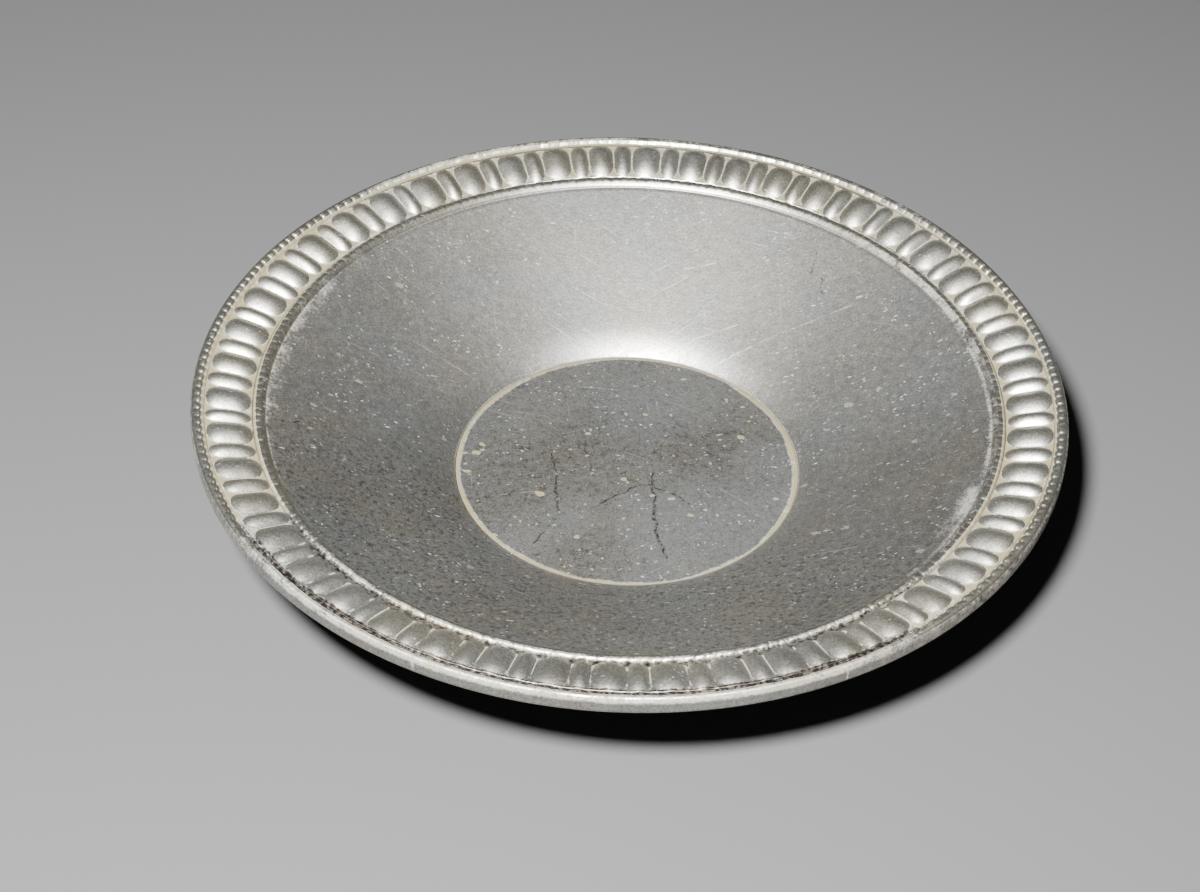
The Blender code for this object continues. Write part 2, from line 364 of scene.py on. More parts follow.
# Line mark: one scratch or crack from Start to End on the plan of the plate. With a the share of
# the way along, the nearest point is Start + a (End - Start), and the mask fades over Width from it.
line_mark, line_in, line_out = new_group(
    "line_mark",
    [
        ("Place", "Vector", None), ("Start", "Vector", None), ("End", "Vector", None),
        ("Width", "Float", 0.1 * MM),
    ],
    [("Mask", "Float")],
)
flat = node(line_mark, "VectorMath", {0: line_in.outputs["Place"], 1: (1, 1, 0)}, operation="MULTIPLY")
from_start = {0: flat.outputs[0], 1: line_in.outputs["Start"]}
to_place = node(line_mark, "VectorMath", from_start, operation="SUBTRACT")
whole_line = {0: line_in.outputs["End"], 1: line_in.outputs["Start"]}
whole = node(line_mark, "VectorMath", whole_line, operation="SUBTRACT").outputs[0]
dot_place = node(line_mark, "VectorMath", {0: to_place.outputs[0], 1: whole}, operation="DOT_PRODUCT")
dot_whole = node(line_mark, "VectorMath", {0: whole, 1: whole}, operation="DOT_PRODUCT")
share = node(
    line_mark, "Math", {0: dot_place.outputs["Value"], 1: dot_whole.outputs["Value"]},
    operation="DIVIDE", use_clamp=True,
).outputs[0]
nearest = node(line_mark, "VectorMath", {0: whole, "Scale": share}, operation="SCALE")
away = node(line_mark, "VectorMath", {0: to_place.outputs[0], 1: nearest.outputs[0]}, operation="DISTANCE")
half = maths(line_mark, "MULTIPLY", line_in.outputs["Width"], 0.3)
faded = ramp(line_mark, away.outputs["Value"], half, line_in.outputs["Width"], 1.0, 0.0)
line_mark.links.new(faded, line_out.inputs["Mask"])


def line_marks(tree, from_place, lines):
    """The strongest of several line marks, each (x, y, x, y, width) in millimetres."""
    strongest = 0.0
    for start_x, start_y, end_x, end_y, width in lines:
        line = {"Start": (start_x * MM, start_y * MM, 0), "End": (end_x * MM, end_y * MM, 0)}
        mask = add_group(tree, line_mark, {"Place": from_place, **line, "Width": width * MM}).outputs[0]
        strongest = maths(tree, "MAXIMUM", strongest, mask)
    return strongest


# Dark colour for dirt and for painted shade.
SOOT_AND_SHADE = (0.030, 0.021, 0.018, 1)
# Pale colour of the painted glints on nicks.
PAINTED_GLINT = (0.21, 0.205, 0.19, 1)
POWDER_ROUGHNESS = 0.85
CRACK_WANDER = 1.2 * MM


def pewter(name, dull, bright, roughness, nicked=1.0, mottle=1.0, crumbs=0.0, cracks=(), scratches=()):
    """A pewter finish: metal between two greys by the skin's tone, then dirt, painted shade and
    cracks, pale nicks that are painted glints, and dried polish and pale films of painted highlight
    over it. Nicks and polish are rough and not metallic."""
    material = bpy.data.materials.new(name)
    material.use_nodes = True
    tree = material.node_tree
    shader = tree.nodes["Principled BSDF"]
    shader.distribution = "GGX"
    shader.inputs["Specular Tint"].default_value = (0.5, 0.5, 0.5, 1)
    shader.inputs["Specular IOR Level"].default_value = 0.2
    own = node(tree, "TexCoord").outputs["Object"]
    skin_here = add_group(tree, skin, {"Place": own, "Marks": nicked, "Mottle": mottle})
    tone_here = skin_here.outputs["Tone"]
    if scratches:
        scratched = line_marks(tree, own, scratches)
        broken = ramp(tree, noise(tree, own, 900.0), 0.4, 0.6, 0.25, 1.0)
        tone_here = maths(tree, "MULTIPLY_ADD", maths(tree, "MULTIPLY", scratched, broken), 1.2, tone_here)
    # Dirt and painted shade from the stain, and cracks below, darken the metal towards the dark colour.
    dirt_stain = node(tree, "Attribute", attribute_name="dirt").outputs["Fac"]
    grit = noise(tree, own, 2200.0)
    dirty = maths(tree, "ADD", dirt_stain, ramp(tree, grit, 0.3, 0.7, -0.25, 0.25))
    dirty = ramp(tree, dirty, 0.3, 0.8, 0.0, 0.92)
    if cracks:
        wander = node(tree, "TexNoise", {"Vector": own, "Scale": 700.0, "Detail": 2.0}).outputs["Color"]
        moved = {0: wander, 1: (CRACK_WANDER, CRACK_WANDER, 0), 2: own}
        moved = node(tree, "VectorMath", moved, operation="MULTIPLY_ADD").outputs[0]
        centred = {0: moved, 1: (CRACK_WANDER / 2, CRACK_WANDER / 2, 0)}
        wandering = node(tree, "VectorMath", centred, operation="SUBTRACT").outputs[0]
        cracked = line_marks(tree, wandering, cracks)
        cracked = maths(tree, "MULTIPLY", cracked, ramp(tree, grit, 0.36, 0.60, 0.10, 0.85))
        dirty = maths(tree, "MAXIMUM", dirty, cracked)
    # Dried polish, and pale films that are painted highlight.
    polish_stain = node(tree, "Attribute", attribute_name="polish").outputs["Fac"]
    cream_coat_here = add_group(tree, cream_coat, {"Place": own, "Stain": polish_stain, "Crumbs": crumbs})
    metal = blended(tree, tone_here, dull, bright, clamp_factor=False)
    metal = blended(tree, 1.0, metal, skin_here.outputs["Tint"], blend_type="MULTIPLY")
    metal = blended(tree, dirty, metal, SOOT_AND_SHADE)
    # Painted glints: pale, rough and less metallic marks on the nicks.
    nick_glint = maths(tree, "MULTIPLY", skin_here.outputs["Glint"], maths(tree, "SUBTRACT", 1.0, dirty))
    metal = blended(tree, nick_glint, metal, PAINTED_GLINT)
    powder_and_highlight = cream_coat_here.outputs["Mask"]
    colour = blended(tree, powder_and_highlight, metal, cream_coat_here.outputs["Color"])
    tree.links.new(colour, shader.inputs["Base Color"])
    covered = maths(tree, "MAXIMUM", powder_and_highlight, maths(tree, "MULTIPLY", nick_glint, 0.85))
    tree.links.new(maths(tree, "SUBTRACT", 1.0, covered), shader.inputs["Metallic"])
    metal_roughness = maths(tree, "SUBTRACT", roughness, skin_here.outputs["Shine"])
    roughness_mix = {0: covered, 2: metal_roughness, 3: POWDER_ROUGHNESS}
    mixed = node(tree, "Mix", roughness_mix, data_type="FLOAT").outputs[0]
    tree.links.new(mixed, shader.inputs["Roughness"])
    relief_here = {"Height": skin_here.outputs["Height"], "Distance": 0.02 * MM, "Strength": 1.0}
    bump = node(tree, "Bump", relief_here)
    tree.links.new(bump.outputs[0], shader.inputs["Normal"])
    return material


# The cracks and scratches are (x, y, x, y, width) in millimetres from the middle of the plate.
FLOOR_CRACKS = [
    (2.6, -0.8, 2.9, -5.1, 0.20), (2.9, -5.1, 3.3, -11.1, 0.27), (3.3, -11.1, 4.3, -13.5, 0.24),
    (3.0, -3.0, 5.0, -4.1, 0.18), (5.0, -4.1, 6.8, -5.8, 0.20), (3.0, -2.7, 1.2, -2.8, 0.24),
    (1.2, -2.8, -2.6, -6.2, 0.15), (-8.0, 2.0, -7.2, -1.8, 0.15), (-7.2, -1.8, -7.3, -4.2, 0.18),
    (-7.3, -4.2, -6.7, -7.2, 0.16), (-4.6, 3.8, -3.5, -1.9, 0.12), (-9.0, -12.2, -7.6, -9.6, 0.14),
]
FLOOR_SCRATCHES = [
    (-13.0, 8.2, -8.5, 7.4, 0.10), (-5.8, 12.6, -0.8, 12.3, 0.10), (9.6, -3.0, 13.0, -5.6, 0.09),
    (-12.8, -5.2, -9.0, -4.4, 0.08),
]
floor_pewter = pewter(
    "floor_pewter", (0.12, 0.117, 0.108, 1), (0.265, 0.26, 0.245, 1), 0.50,
    nicked=1.1, mottle=2.3, crumbs=1.0, cracks=FLOOR_CRACKS, scratches=FLOOR_SCRATCHES,
)
floor_outline = rounded([
    (0.0, FLOOR_TOP, 0.0),
    (SEAM_RADIUS - SEAM_SLIT, FLOOR_TOP, 0.01 * MM),
    (SEAM_RADIUS - SEAM_SLIT, FLOOR_BOTTOM, 0.10 * MM),
    (0.0, FLOOR_BOTTOM, 0.0),
])


def floor_polish(radius, height, turn):
    """Dried polish beside the seam, on the upper face, in a band of uneven width that is broadest at
    the left and right."""
    angle = np.radians(turn)
    width = (0.75 + 0.15 * np.sin(angle * 3 + 1) + 0.1 * np.sin(angle * 11)) * MM
    width = width * (0.75 - 0.35 * np.sin(angle) ** 2)
    band = 0.85 * smooth_step(radius, SEAM_RADIUS - 1.4 * width, SEAM_RADIUS - 0.3 * MM)
    return band * (height > FLOOR_BOTTOM)


floor_rings = np.linspace(0, SEAM_RADIUS - 0.1 * MM, 60)[1:]
floor_top_rows = np.stack([floor_rings, np.full_like(floor_rings, FLOOR_TOP)], axis=1)
floor_outline = np.concatenate([floor_outline[:1], floor_top_rows, floor_outline[1:]])
floor_piece = turned("floor", floor_outline, 256, floor_pewter, polish=floor_polish)
stand_for(floor_piece, "floor_disc")

# ---------------------------------------------------------------- spun body
# The well and the brim, spun from one sheet of pewter. Its wall leaves the floor steeply and then
# runs straight to the border. The brim runs on under the three strips that are soldered to it.
outer_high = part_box("outer_bead_ring")[1]
inner_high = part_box("inner_bead_ring")[1]
band_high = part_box("lobed_band")[1]
edge_low, edge_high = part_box("rim_band")
BORDER_SLOPE = 0.24
GROOVE_A = band_high.x + 0.2 * MM
GROOVE_B = inner_high.x + 0.3 * MM
WELL_MOUTH = inner_high.x - 1.0 * MM
GROOVE_A_LEVEL = outer_high.z - 0.5 * MM
WALL_THICKNESS = 1.1 * MM
BRIM_THICKNESS = 1.1 * MM
STRIP_BASE = 0.35 * MM
KICK_WIDTH = 4.0 * MM
KICK_SLOPE = 1.0


def border_level(radius):
    """The sloping line that the strips are soldered along: it falls inwards from groove A."""
    return GROOVE_A_LEVEL - BORDER_SLOPE * (GROOVE_A - radius)


wall_rise = border_level(WELL_MOUTH) - FLOOR_TOP
wall_run = WELL_MOUTH - SEAM_RADIUS
CONE_SLOPE = (wall_rise - KICK_SLOPE * KICK_WIDTH / 3) / (wall_run - KICK_WIDTH / 3)


def wall_level(radius):
    """Height of the well's inner face: a cone, plus a kick beside the floor whose slope dies as a square."""
    run = radius - SEAM_RADIUS
    left = np.clip(1 - run / KICK_WIDTH, 0, 1)
    return FLOOR_TOP + CONE_SLOPE * run + (KICK_SLOPE - CONE_SLOPE) * KICK_WIDTH / 3 * (1 - left**3)


kick_radii = SEAM_RADIUS + KICK_WIDTH * np.linspace(0, 1, 24)
cone_radii = np.linspace(SEAM_RADIUS + KICK_WIDTH, WELL_MOUTH - 0.25 * MM, 44)[1:]
inner_radii = np.concatenate([kick_radii, cone_radii])
inner_face = np.stack([inner_radii, wall_level(inner_radii)], axis=1)
slope = np.gradient(inner_face[:, 1], inner_face[:, 0])
steep = np.hypot(1, slope)
outer_face = inner_face + WALL_THICKNESS * np.stack([slope / steep, -1 / steep], axis=1)
brim_edge = edge_high.x - 0.45 * MM
rebate = rounded([
    (WELL_MOUTH, border_level(WELL_MOUTH) - 0.02 * MM, 0.08 * MM),
    (WELL_MOUTH, border_level(WELL_MOUTH) - STRIP_BASE, 0.0),
    (brim_edge, border_level(brim_edge) - STRIP_BASE, 0.05 * MM),
    (brim_edge, border_level(brim_edge) - STRIP_BASE - BRIM_THICKNESS, 0.2 * MM),
    (WELL_MOUTH - 0.9 * MM, border_level(WELL_MOUTH - 0.9 * MM) - STRIP_BASE - BRIM_THICKNESS, 0.0),
])
kept_outer = outer_face[outer_face[:, 0] < WELL_MOUTH - 1.6 * MM][::-1]
body_outline = np.concatenate([inner_face, rebate, kept_outer])


def around(turn, middle, half, soft):
    """1 within half degrees of a direction, falling to 0 over the next soft degrees. Turns are degrees
    from the right: 90 is the far side, 180 the left and 270 the near side."""
    away_from = np.abs((turn - middle + 180) % 360 - 180)
    return 1 - smooth_step(away_from, half, half + soft)


# Sides of the plate that several marks follow, each as the numbers that around takes.
FAR_SIDE = (85, 40, 30)
NEAR_SIDE = (262, 38, 20)
WIDE_NEAR_SIDE = (265, 40, 30)


def body_polish(radius, height, turn):
    """Dried polish beside the floor's seam, in a line under the inner beads at the left and right,
    in one smear at the right and in a thin haze at the left."""
    by_floor = 0.85 - 0.85 * smooth_step(radius, SEAM_RADIUS, SEAM_RADIUS + 0.24 * MM)
    line_width = (0.28 + 0.14 * around(turn, 350, 45, 30)) * MM
    under_beads = smooth_step(radius, WELL_MOUTH - line_width, WELL_MOUTH - 0.5 * line_width)
    under_beads = under_beads * (1 - 0.85 * around(turn, 85, 45, 30) - 0.8 * around(turn, 262, 40, 30))
    smear_middle = 337 - 2.0 * (WELL_MOUTH - radius) / MM
    smear = around(turn, smear_middle, 4, 9)
    smear = smear * smooth_step(radius, WELL_MOUTH - 3.4 * MM, WELL_MOUTH - 0.4 * MM)
    haze = around(turn, 168, 12, 28) * smooth_step(radius, WELL_MOUTH - 3.0 * MM, WELL_MOUTH)
    inside = height > wall_level(radius) - 0.3 * MM
    stains = np.maximum(np.maximum(by_floor, 0.44 * under_beads), np.maximum(0.44 * smear, 0.38 * haze))
    return stains * inside


def body_dirt(radius, height, turn):
    """Painted shade that darkens the near wall."""
    return 0.30 * around(turn, 255, 55, 40) * (height > wall_level(radius) - 0.3 * MM)


WELL_SCRATCHES = [
    (9.7, 16.3, 16.0, 18.3, 0.16), (16.0, 18.3, 23.6, 19.8, 0.13), (6.7, 19.1, 11.5, 20.2, 0.12),
    (17.2, -16.6, 23.5, -17.1, 0.09), (32.2, -5.6, 33.6, -5.5, 0.09), (26.8, -19.2, 28.0, -19.4, 0.10),
    (-23.3, 13.3, -16.5, 11.1, 0.10), (-31.2, -0.5, -29.1, -1.0, 0.09), (-30.0, 10.0, -26.5, 9.6, 0.08),
    (20.0, 4.0, 25.0, 3.4, 0.07), (-24.0, -9.0, -20.5, -10.2, 0.08), (5.0, 27.0, 9.0, 27.6, 0.09),
]
WELL_CRACKS = [
    (-35.1, -5.3, -33.0, -4.3, 0.14), (19.3, 24.6, 19.9, 26.9, 0.08), (20.6, 22.0, 20.3, 24.0, 0.08),
]
well_pewter = pewter(
    "well_pewter", (0.165, 0.160, 0.148, 1), (0.325, 0.317, 0.295, 1), 0.445,
    crumbs=0.12, cracks=WELL_CRACKS, scratches=WELL_SCRATCHES,
)
body_piece = turned("well", body_outline, 512, well_pewter, polish=body_polish, dirt=body_dirt)
stand_for(body_piece, "well_body")

# ---------------------------------------------------------------- foot ring
# A low turned ring of the same metal, soldered under the seam between floor and wall. It carries
# the plate, and nobody polished it, so it is the dullest piece.
foot_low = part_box("foot_ring")[0]
FOOT_MIDDLE = SEAM_RADIUS + 0.15 * MM
FOOT_HALF = 1.0 * MM
FOOT_NECK = 1.3 * MM
foot_pewter = pewter("foot_pewter", (0.14, 0.135, 0.126, 1), (0.29, 0.28, 0.262, 1), 0.50)
foot_outline = rounded([
    (FOOT_MIDDLE - 1.7 * MM, FLOOR_BOTTOM, 0.1 * MM),
    (FOOT_MIDDLE, FLOOR_BOTTOM, 0.1 * MM),
    (FOOT_MIDDLE + 0.85 * MM, FLOOR_BOTTOM + 0.42 * MM, 0.1 * MM),
    (FOOT_MIDDLE + 1.7 * MM, FLOOR_BOTTOM + 1.1 * MM, 0.1 * MM),
    (FOOT_MIDDLE + FOOT_HALF, FOOT_NECK, 0.6 * MM),
    (FOOT_MIDDLE + FOOT_HALF, foot_low.z, 0.25 * MM),
    (FOOT_MIDDLE - FOOT_HALF, foot_low.z, 0.25 * MM),
    (FOOT_MIDDLE - FOOT_HALF, FOOT_NECK, 0.6 * MM),
])
foot_piece = turned("foot", foot_outline, 256, foot_pewter)
stand_for(foot_piece, "foot_ring")

# ---------------------------------------------------------------- inner beads
# A milled wire on the step from the border down into the well. Its long face rises from the well
# to a round crest beside the lobes, and fine ridges cut across it.
BEADS_ROUND = 240
BEAD_COLUMNS = BEADS_ROUND * 8
inner_pewter = pewter(
    "inner_bead_pewter", (0.19, 0.184, 0.160, 1), (0.42, 0.406, 0.352, 1), 0.38, nicked=0.4, mottle=0.8
)


def resampled(outline, count):
    """The same outline with points at even steps along its length."""
    step = np.concatenate([[0], np.cumsum(np.hypot(*np.diff(outline, axis=0).T))])
    even = np.linspace(0, step[-1], count)
    return np.stack([np.interp(even, step, outline[:, 0]), np.interp(even, step, outline[:, 1])], axis=1)


def bead_swell(angle):
    """1 on the crown of each bead and 0 in the cut between two: (1 - |x|^2.4)^0.5, x from -1 to 1."""
    across_bead = (angle * BEADS_ROUND / (2 * np.pi)) % 1.0 * 2 - 1
    return np.sqrt(1 - np.abs(across_bead) ** 2.4)


def wear(angle, seed):
    """Uneven wear round a wire between -1 and 1: a sum of twelve sines of random phase, 20 to 190
    waves round the plate."""
    waves = np.random.default_rng(seed)
    counts = waves.integers(20, 190, 12)[:, None]
    phases = waves.uniform(0, 2 * np.pi, 12)[:, None]
    return np.clip(np.sum(np.sin(counts * angle + phases), axis=0) / 4, -1, 1)[None, :]


UNEVEN_WEAR = 0.16


def milled_wire(name, crown, base, cut_depth, weakest, reach, keep, worn, stains, material):
    """A wire whose crown, an outline from inside to outside, is cut by ridges. A point of the crown
    sinks along its normal by cut_depth reach(share) times the sum of three cuts: (1 - swell) keep(turn),
    each ridge between weakest and 1 times as deep, uneven wear, and worn(turn) where it is rubbed low.
    share runs from 0 to 1 along the crown, and the base closes it."""
    angle = np.linspace(0, 2 * np.pi, BEAD_COLUMNS, endpoint=False)[None, :]
    turn = np.degrees(angle)
    share = np.linspace(0, 1, len(crown))[:, None]
    tangent = np.gradient(crown, axis=0)
    normal = np.stack([-tangent[:, 1], tangent[:, 0]], axis=1)
    normal /= np.linalg.norm(normal, axis=1, keepdims=True)
    place_round = angle * BEADS_ROUND / (2 * np.pi)
    before = np.floor(place_round).astype(int)
    depths = np.random.default_rng(len(crown)).uniform(weakest, 1.0, BEADS_ROUND + 1)
    depths[-1] = depths[0]
    depth = depths[before] + (place_round - before) * (depths[before + 1] - depths[before])
    cut = (1 - bead_swell(angle)) * reach(share) * keep(turn) * depth
    cut = cut + reach(share) * (UNEVEN_WEAR + UNEVEN_WEAR * wear(angle, len(crown)) + worn(turn))
    radius = crown[:, :1] - normal[:, :1] * cut * cut_depth
    height = crown[:, 1:] - normal[:, 1:] * cut * cut_depth
    base_rows = np.ones_like(angle)
    whole_radius = np.concatenate([radius, base[:, :1] * base_rows])
    whole_height = np.concatenate([height, base[:, 1:] * base_rows])
    bare = np.zeros((len(base), BEAD_COLUMNS))
    grids = {key: np.concatenate([stain(share, cut, turn), bare]) for key, stain in stains.items()}
    return swept(name, whole_radius, whole_height, angle, material, **grids)


inner_crown = resampled(rounded([
    (WELL_MOUTH, border_level(WELL_MOUTH) - 0.06 * MM, 0.0),
    (WELL_MOUTH + 0.08 * MM, border_level(WELL_MOUTH) + 0.12 * MM, 0.08 * MM),
    (WELL_MOUTH + 0.50 * MM, border_level(WELL_MOUTH) + 0.50 * MM, 0.20 * MM),
    (WELL_MOUTH + 1.06 * MM, border_level(WELL_MOUTH) + 0.57 * MM, 0.16 * MM),
    (GROOVE_B - 0.02 * MM, border_level(GROOVE_B) - 0.02 * MM, 0.0),
])[:-1], 22)
inner_crown = np.concatenate([inner_crown, [[GROOVE_B - 0.02 * MM, border_level(GROOVE_B) - 0.02 * MM]]])
inner_base = np.array([
    (GROOVE_B - 0.02 * MM, border_level(GROOVE_B) - STRIP_BASE + 0.01 * MM),
    (WELL_MOUTH + 0.01 * MM, border_level(WELL_MOUTH) - STRIP_BASE + 0.01 * MM),
])


def inner_reach(share):
    """The cuts start a little way up from the well and are deepest at the crest."""
    return smooth_step(share, 0.25, 0.70) * (1 - smooth_step(share, 0.93, 1.0))


def inner_keep(turn):
    """The ridges are worn down along the near and the far side."""
    return 0.8 * (1 - 0.35 * around(turn, 262, 25, 25)) * (1 - 0.30 * around(turn, 85, 35, 30))


def inner_polish(share, cut, turn):
    """Dried polish in the groove beside the lobes and along the foot of the wire, but for the near
    and the far side, and thinly in the cuts. Thin pale films on three stretches of the face are
    partly dried polish and partly painted highlight; the film on the near crest is painted highlight."""
    bare = np.maximum(around(turn, *WIDE_NEAR_SIDE), 0.8 * around(turn, *FAR_SIDE))
    groove = smooth_step(share, 0.76, 0.90) * (1 - bare)
    left_and_right = (1 - around(turn, 85, 45, 30)) * (1 - around(turn, *WIDE_NEAR_SIDE))
    foot_line = 0.5 * (1 - smooth_step(share, 0.0, 0.10)) * left_and_right
    film = 0.20 * around(turn, 100, 60, 40) + 0.30 * around(turn, 0, 30, 30)
    film = film * (1 - smooth_step(share, 0.5, 0.6))
    # Painted highlight: a pale film on the crest on the near side.
    film = np.maximum(film, 0.42 * around(turn, 265, 38, 25) * smooth_step(share, 0.60, 0.70))
    in_cuts = 0.25 * cut * smooth_step(share, 0.4, 0.7)
    return np.maximum(np.maximum(0.9 * groove, foot_line), np.maximum(film, in_cuts))


def inner_dirt(share, cut, turn):
    """Painted shade in the groove on the far and the near side, and on the long face at the left."""
    far = 0.3 * smooth_step(share, 0.86, 0.96) * around(turn, 88, 32, 16)
    near = 0.6 * smooth_step(share, 0.86, 0.97) * around(turn, *WIDE_NEAR_SIDE)
    left = 0.28 * (1 - smooth_step(share, 0.10, 0.55)) * around(turn, 190, 25, 20)
    return np.maximum(np.maximum(far, near), left)


INNER_CUT = 0.15 * MM
INNER_WEAKEST = 0.3
inner_piece = milled_wire(
    "inner_beads", inner_crown, inner_base, INNER_CUT, INNER_WEAKEST, inner_reach, inner_keep, np.zeros_like,
    {"polish": inner_polish, "dirt": inner_dirt}, inner_pewter,
)
stand_for(inner_piece, "inner_bead_ring")

# ---------------------------------------------------------------- lobed band
# A strip of convex lobes, a wide and a narrow one by turns, bent into a ring. They were struck by
# hand, so no two are quite the same size. Rubbing keeps their crowns bright, and old polish fills
# the valleys between them.
LOBE_PAIRS = 48
WIDE_DEGREES = 4.6
NARROW_DEGREES = 2.9
WIDE_RISE = 0.74 * MM
NARROW_RISE = 0.68 * MM
hand = np.random.default_rng(7)
lobe_count = 2 * LOBE_PAIRS
is_wide = np.arange(lobe_count) % 2 == 0
lobe_widths = np.where(is_wide, WIDE_DEGREES, NARROW_DEGREES)
lobe_widths = lobe_widths * (1 + 0.05 * hand.standard_normal(lobe_count))
lobe_widths *= 360 / lobe_widths.sum()
lobe_ends = np.concatenate([[0], np.cumsum(lobe_widths)]) - WIDE_DEGREES / 2
lobe_middles = (lobe_ends[1:] + lobe_ends[:-1]) / 2
lobe_rises = np.where(is_wide, WIDE_RISE, NARROW_RISE) * (1 + 0.07 * hand.standard_normal(lobe_count))
lobe_shifts = 0.05 * MM * hand.standard_normal(lobe_count)
lobe_leans = 0.10 * hand.standard_normal(lobe_count)

# along runs from -1 at the inner end of a lobe to 1 at its outer end, and across from -1 to 1 over
# its width. A lobe rises by (1 - (across / taper)^2) (1 - |along|^2.6), and its width tapers by
# (1 - |along|^4.2)^0.5 towards its round ends.
band_columns = LOBE_PAIRS * 42
band_rows = 36
turn = np.linspace(0, 360, band_columns, endpoint=False)[None, :] - WIDE_DEGREES / 2
which = np.clip(np.searchsorted(lobe_ends, turn[0], side="right") - 1, 0, lobe_count - 1)
crown_radius = np.linspace(GROOVE_B + 0.02 * MM, GROOVE_A - 0.02 * MM, band_rows)[:, None]
band_middle = (GROOVE_A + GROOVE_B) / 2 + lobe_shifts[which][None, :]
along = (crown_radius - band_middle) / ((GROOVE_A - GROOVE_B) / 2)
across = (turn - lobe_middles[which]) / (lobe_widths[which] / 2)
worn_lobes = 1 - 0.16 * around(turn, 255, 35, 30)
lobe_taper = np.sqrt(np.clip(1 - np.abs(along) ** 4.2, 1e-4, 1))
arch = np.clip(1 - (across / lobe_taper) ** 2, 0, 1) * np.clip(1 - np.abs(along) ** 2.6, 0, 1)
lean = 1 + lobe_leans[which] * across * 0.5
dome = lobe_rises[which] * worn_lobes * arch * lean
VALLEY_ROUNDING = 0.015 * MM
relief_height = np.sqrt(dome**2 + VALLEY_ROUNDING**2) - VALLEY_ROUNDING
crown_height = border_level(crown_radius) + relief_height
angle = np.radians(turn)
base_radius = np.array([[GROOVE_A - 0.02 * MM], [GROOVE_B + 0.02 * MM]]) * np.ones_like(angle)
base_height = border_level(base_radius) - STRIP_BASE + 0.01 * MM

# Polish fills a valley up to where the lobe's arch is a tenth of caked. It lies thick round the ends
# of the lobes at the left and right, and in the valleys on the far and the near side, but thinly or
# not at all at the ends of the lobes there. On those two sides the inner ends are darkened with
# painted shade instead, and on the near side the outer ends as well.
far_side = around(turn, *FAR_SIDE)
near_side = around(turn, *NEAR_SIDE)
at_ends = smooth_step(np.abs(along), 0.55, 0.95)
caked = 0.45 + at_ends * (0.4 + 1.4 * around(turn, 168, 18, 20) + 0.8 * around(turn, 345, 18, 20))
caked = caked + 1.3 * around(turn, 88, 35, 30) + 0.8 * around(turn, *WIDE_NEAR_SIDE)
valley = 1 - smooth_step(arch, 0.01 * caked, 0.10 * caked)
at_outer_end = smooth_step(along, 0.80, 0.97)
at_inner_end = smooth_step(-along, 0.80, 0.97)
lobe_polish = 0.85 * valley * (1 - 0.75 * far_side * np.maximum(at_outer_end, at_inner_end))
lobe_polish = lobe_polish * (1 - 0.6 * near_side * smooth_step(along, 0.0, 0.8))
lobe_polish = lobe_polish * (1 - near_side * smooth_step(-along, 0.55, 0.80))
# Painted shade: the ends of the lobes on the near side and the tips of the inner ends on the far side are
# darkened.
outer_end_dirt = 0.85 * smooth_step(along, 0.84, 0.92)
inner_end_dirt = 0.52 * smooth_step(-along, 0.30, 0.90)
lobe_dirt = near_side * np.maximum(outer_end_dirt, inner_end_dirt)
lobe_dirt = np.maximum(lobe_dirt, 0.3 * far_side * smooth_step(-along, 0.94, 1.0))
band_radius = np.concatenate([np.repeat(crown_radius, band_columns, axis=1), base_radius])
band_height = np.concatenate([crown_height, base_height])
bare_base = np.zeros_like(base_radius)
lobe_pewter = pewter(
    "lobe_pewter", (0.20, 0.193, 0.168, 1), (0.455, 0.441, 0.385, 1), 0.42, nicked=0.4, mottle=1.2
)
band_piece = swept(
    "lobes", band_radius, band_height, angle, lobe_pewter,
    polish=np.concatenate([lobe_polish, bare_base]), dirt=np.concatenate([lobe_dirt, bare_base]),
)
stand_for(band_piece, "lobed_band")

# ---------------------------------------------------------------- outer beads
# The same milled wire round the outside of the lobes. It is the highest line of the plate, so it is
# worn low and smooth on the near side, and at the right every other ridge is weak. Its crown is the
# first stretch of the roll that the rim band carries on, up to SEAM_POINT.
outer_pewter = pewter(
    "outer_bead_pewter", (0.18, 0.174, 0.150, 1), (0.40, 0.385, 0.332, 1), 0.40, nicked=0.7, mottle=1.2
)
SEAM_POINT = 29
EDGE_BOTTOM = edge_low.z
edge_roll = resampled(rounded([
    (GROOVE_A + 0.02 * MM, border_level(GROOVE_A) - 0.03 * MM, 0.0),
    (GROOVE_A + 0.40 * MM, outer_high.z - 0.05 * MM, 0.12 * MM),
    (GROOVE_A + 0.75 * MM, outer_high.z, 0.12 * MM),
    (GROOVE_A + 1.12 * MM, outer_high.z - 0.14 * MM, 0.12 * MM),
    (edge_high.x, outer_high.z - 0.55 * MM, 0.22 * MM),
    (edge_high.x, outer_high.z - 1.70 * MM, 0.30 * MM),
    (edge_high.x - 0.50 * MM, EDGE_BOTTOM, 0.20 * MM),
    (edge_high.x - 0.75 * MM, EDGE_BOTTOM, 0.0),
], 12), 72)
outer_crown = edge_roll[:SEAM_POINT]
outer_base = np.array([
    (edge_high.x - 0.42 * MM, outer_high.z - 0.55 * MM),
    (GROOVE_A + 0.02 * MM, border_level(GROOVE_A) - STRIP_BASE + 0.01 * MM),
])


def outer_reach(share):
    """The ridges run from the groove over the crest and die out on the way to the rim band."""
    return smooth_step(share, 0.0, 0.12) * (1 - smooth_step(share, 0.52, 0.82))


def outer_keep(turn):
    """Full ridges, but for the worn near and far sides, and for every other one at the right."""
    in_pair = (turn * BEADS_ROUND / 720) % 1.0
    weak = (in_pair > 0.5) * around(turn, 350, 22, 12)
    worn_smooth = (1 - 0.93 * around(turn, 262, 36, 22)) * (1 - 0.75 * around(turn, 85, 40, 25))
    return worn_smooth * (1 - 0.65 * weak)


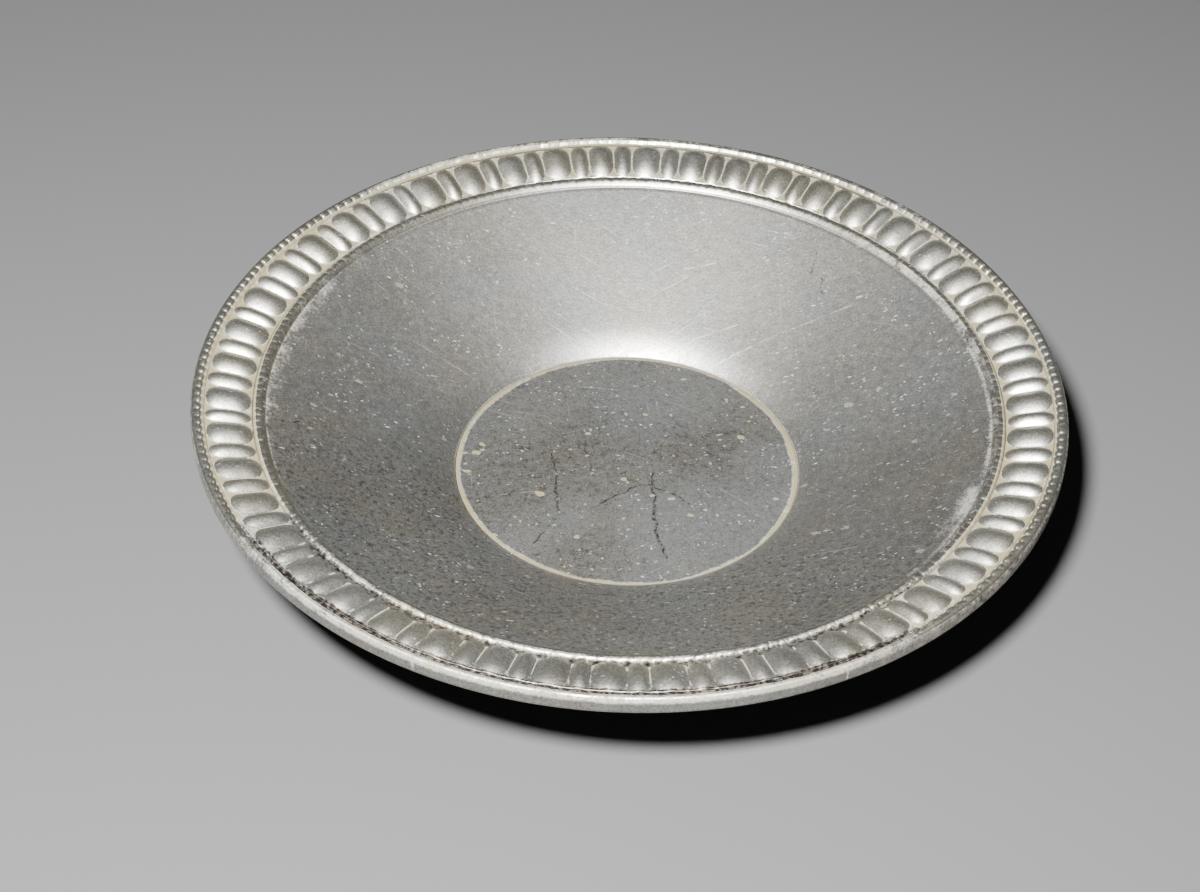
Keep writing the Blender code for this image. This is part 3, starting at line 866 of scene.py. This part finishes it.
def outer_worn(turn):
    """Hands have rubbed the near side low."""
    return 0.95 * around(turn, *NEAR_SIDE)


def outer_polish(share, cut, turn):
    """Dried polish in the groove beside the lobes and thinly in the cuts, and thin pale films over the
    crest on the left, the far and the near side, partly dried polish and partly painted highlight;
    the film on the near crest is painted highlight."""
    caked_here = 0.21 + 0.10 * around(turn, 160, 30, 30)
    groove = (1 - smooth_step(share, 0.4 * caked_here, caked_here)) * (1 - around(turn, *NEAR_SIDE))
    film = 0.22 * around(turn, 145, 40, 30) * (1 - smooth_step(share, 0.5, 0.8))
    # Painted highlight: a pale film over the crest on the near side.
    film = film + 0.50 * around(turn, *NEAR_SIDE) * smooth_step(share, 0.3, 0.5)
    film = film + 0.3 * around(turn, 85, 35, 25)
    return np.maximum(np.maximum(0.9 * groove, film), 0.25 * cut)


def outer_dirt(share, cut, turn):
    """Painted shade in the groove on the near side."""
    return 0.66 * (1 - smooth_step(share, 0.08, 0.30)) * around(turn, *NEAR_SIDE)


OUTER_CUT = 0.25 * MM
OUTER_WEAKEST = 0.75
outer_piece = milled_wire(
    "outer_beads", outer_crown, outer_base, OUTER_CUT, OUTER_WEAKEST, outer_reach, outer_keep, outer_worn,
    {"polish": outer_polish, "dirt": outer_dirt}, outer_pewter,
)
stand_for(outer_piece, "outer_bead_ring")

# ---------------------------------------------------------------- rim band
# A plain band wraps the edge of the brim and carries on the roll of the outer beads. Hands have
# rubbed it smooth, with small nicks, and it is darker at the right. A pale film along its top on the
# near side is a painted highlight.
rim_pewter = pewter(
    "rim_pewter", (0.15, 0.146, 0.130, 1), (0.32, 0.312, 0.282, 1), 0.52, nicked=0.9, mottle=1.4
)
rim_inner = np.array([
    (edge_high.x - 0.75 * MM, EDGE_BOTTOM + 0.30 * MM),
    (edge_high.x - 0.42 * MM, EDGE_BOTTOM + 0.35 * MM),
    (edge_high.x - 0.42 * MM, outer_high.z - 0.56 * MM),
])
rim_outline = np.concatenate([edge_roll[SEAM_POINT - 1:], rim_inner])


def rim_polish(radius, height, turn):
    """A thin patchy film of dried polish, on the near side thinner, but thicker along the top there,
    where the extra film is a painted highlight.
    """
    top = smooth_step(height, outer_high.z - 0.75 * MM, outer_high.z - 0.45 * MM)
    return 0.32 - around(turn, 262, 30, 20) * (0.16 - 0.36 * top)


def rim_dirt(radius, height, turn):
    """Darker at the right."""
    return 0.42 * around(turn, 355, 35, 25) * np.ones_like(radius)


rim_piece = turned("rim", rim_outline, 512, rim_pewter, polish=rim_polish, dirt=rim_dirt)
stand_for(rim_piece, "rim_band")
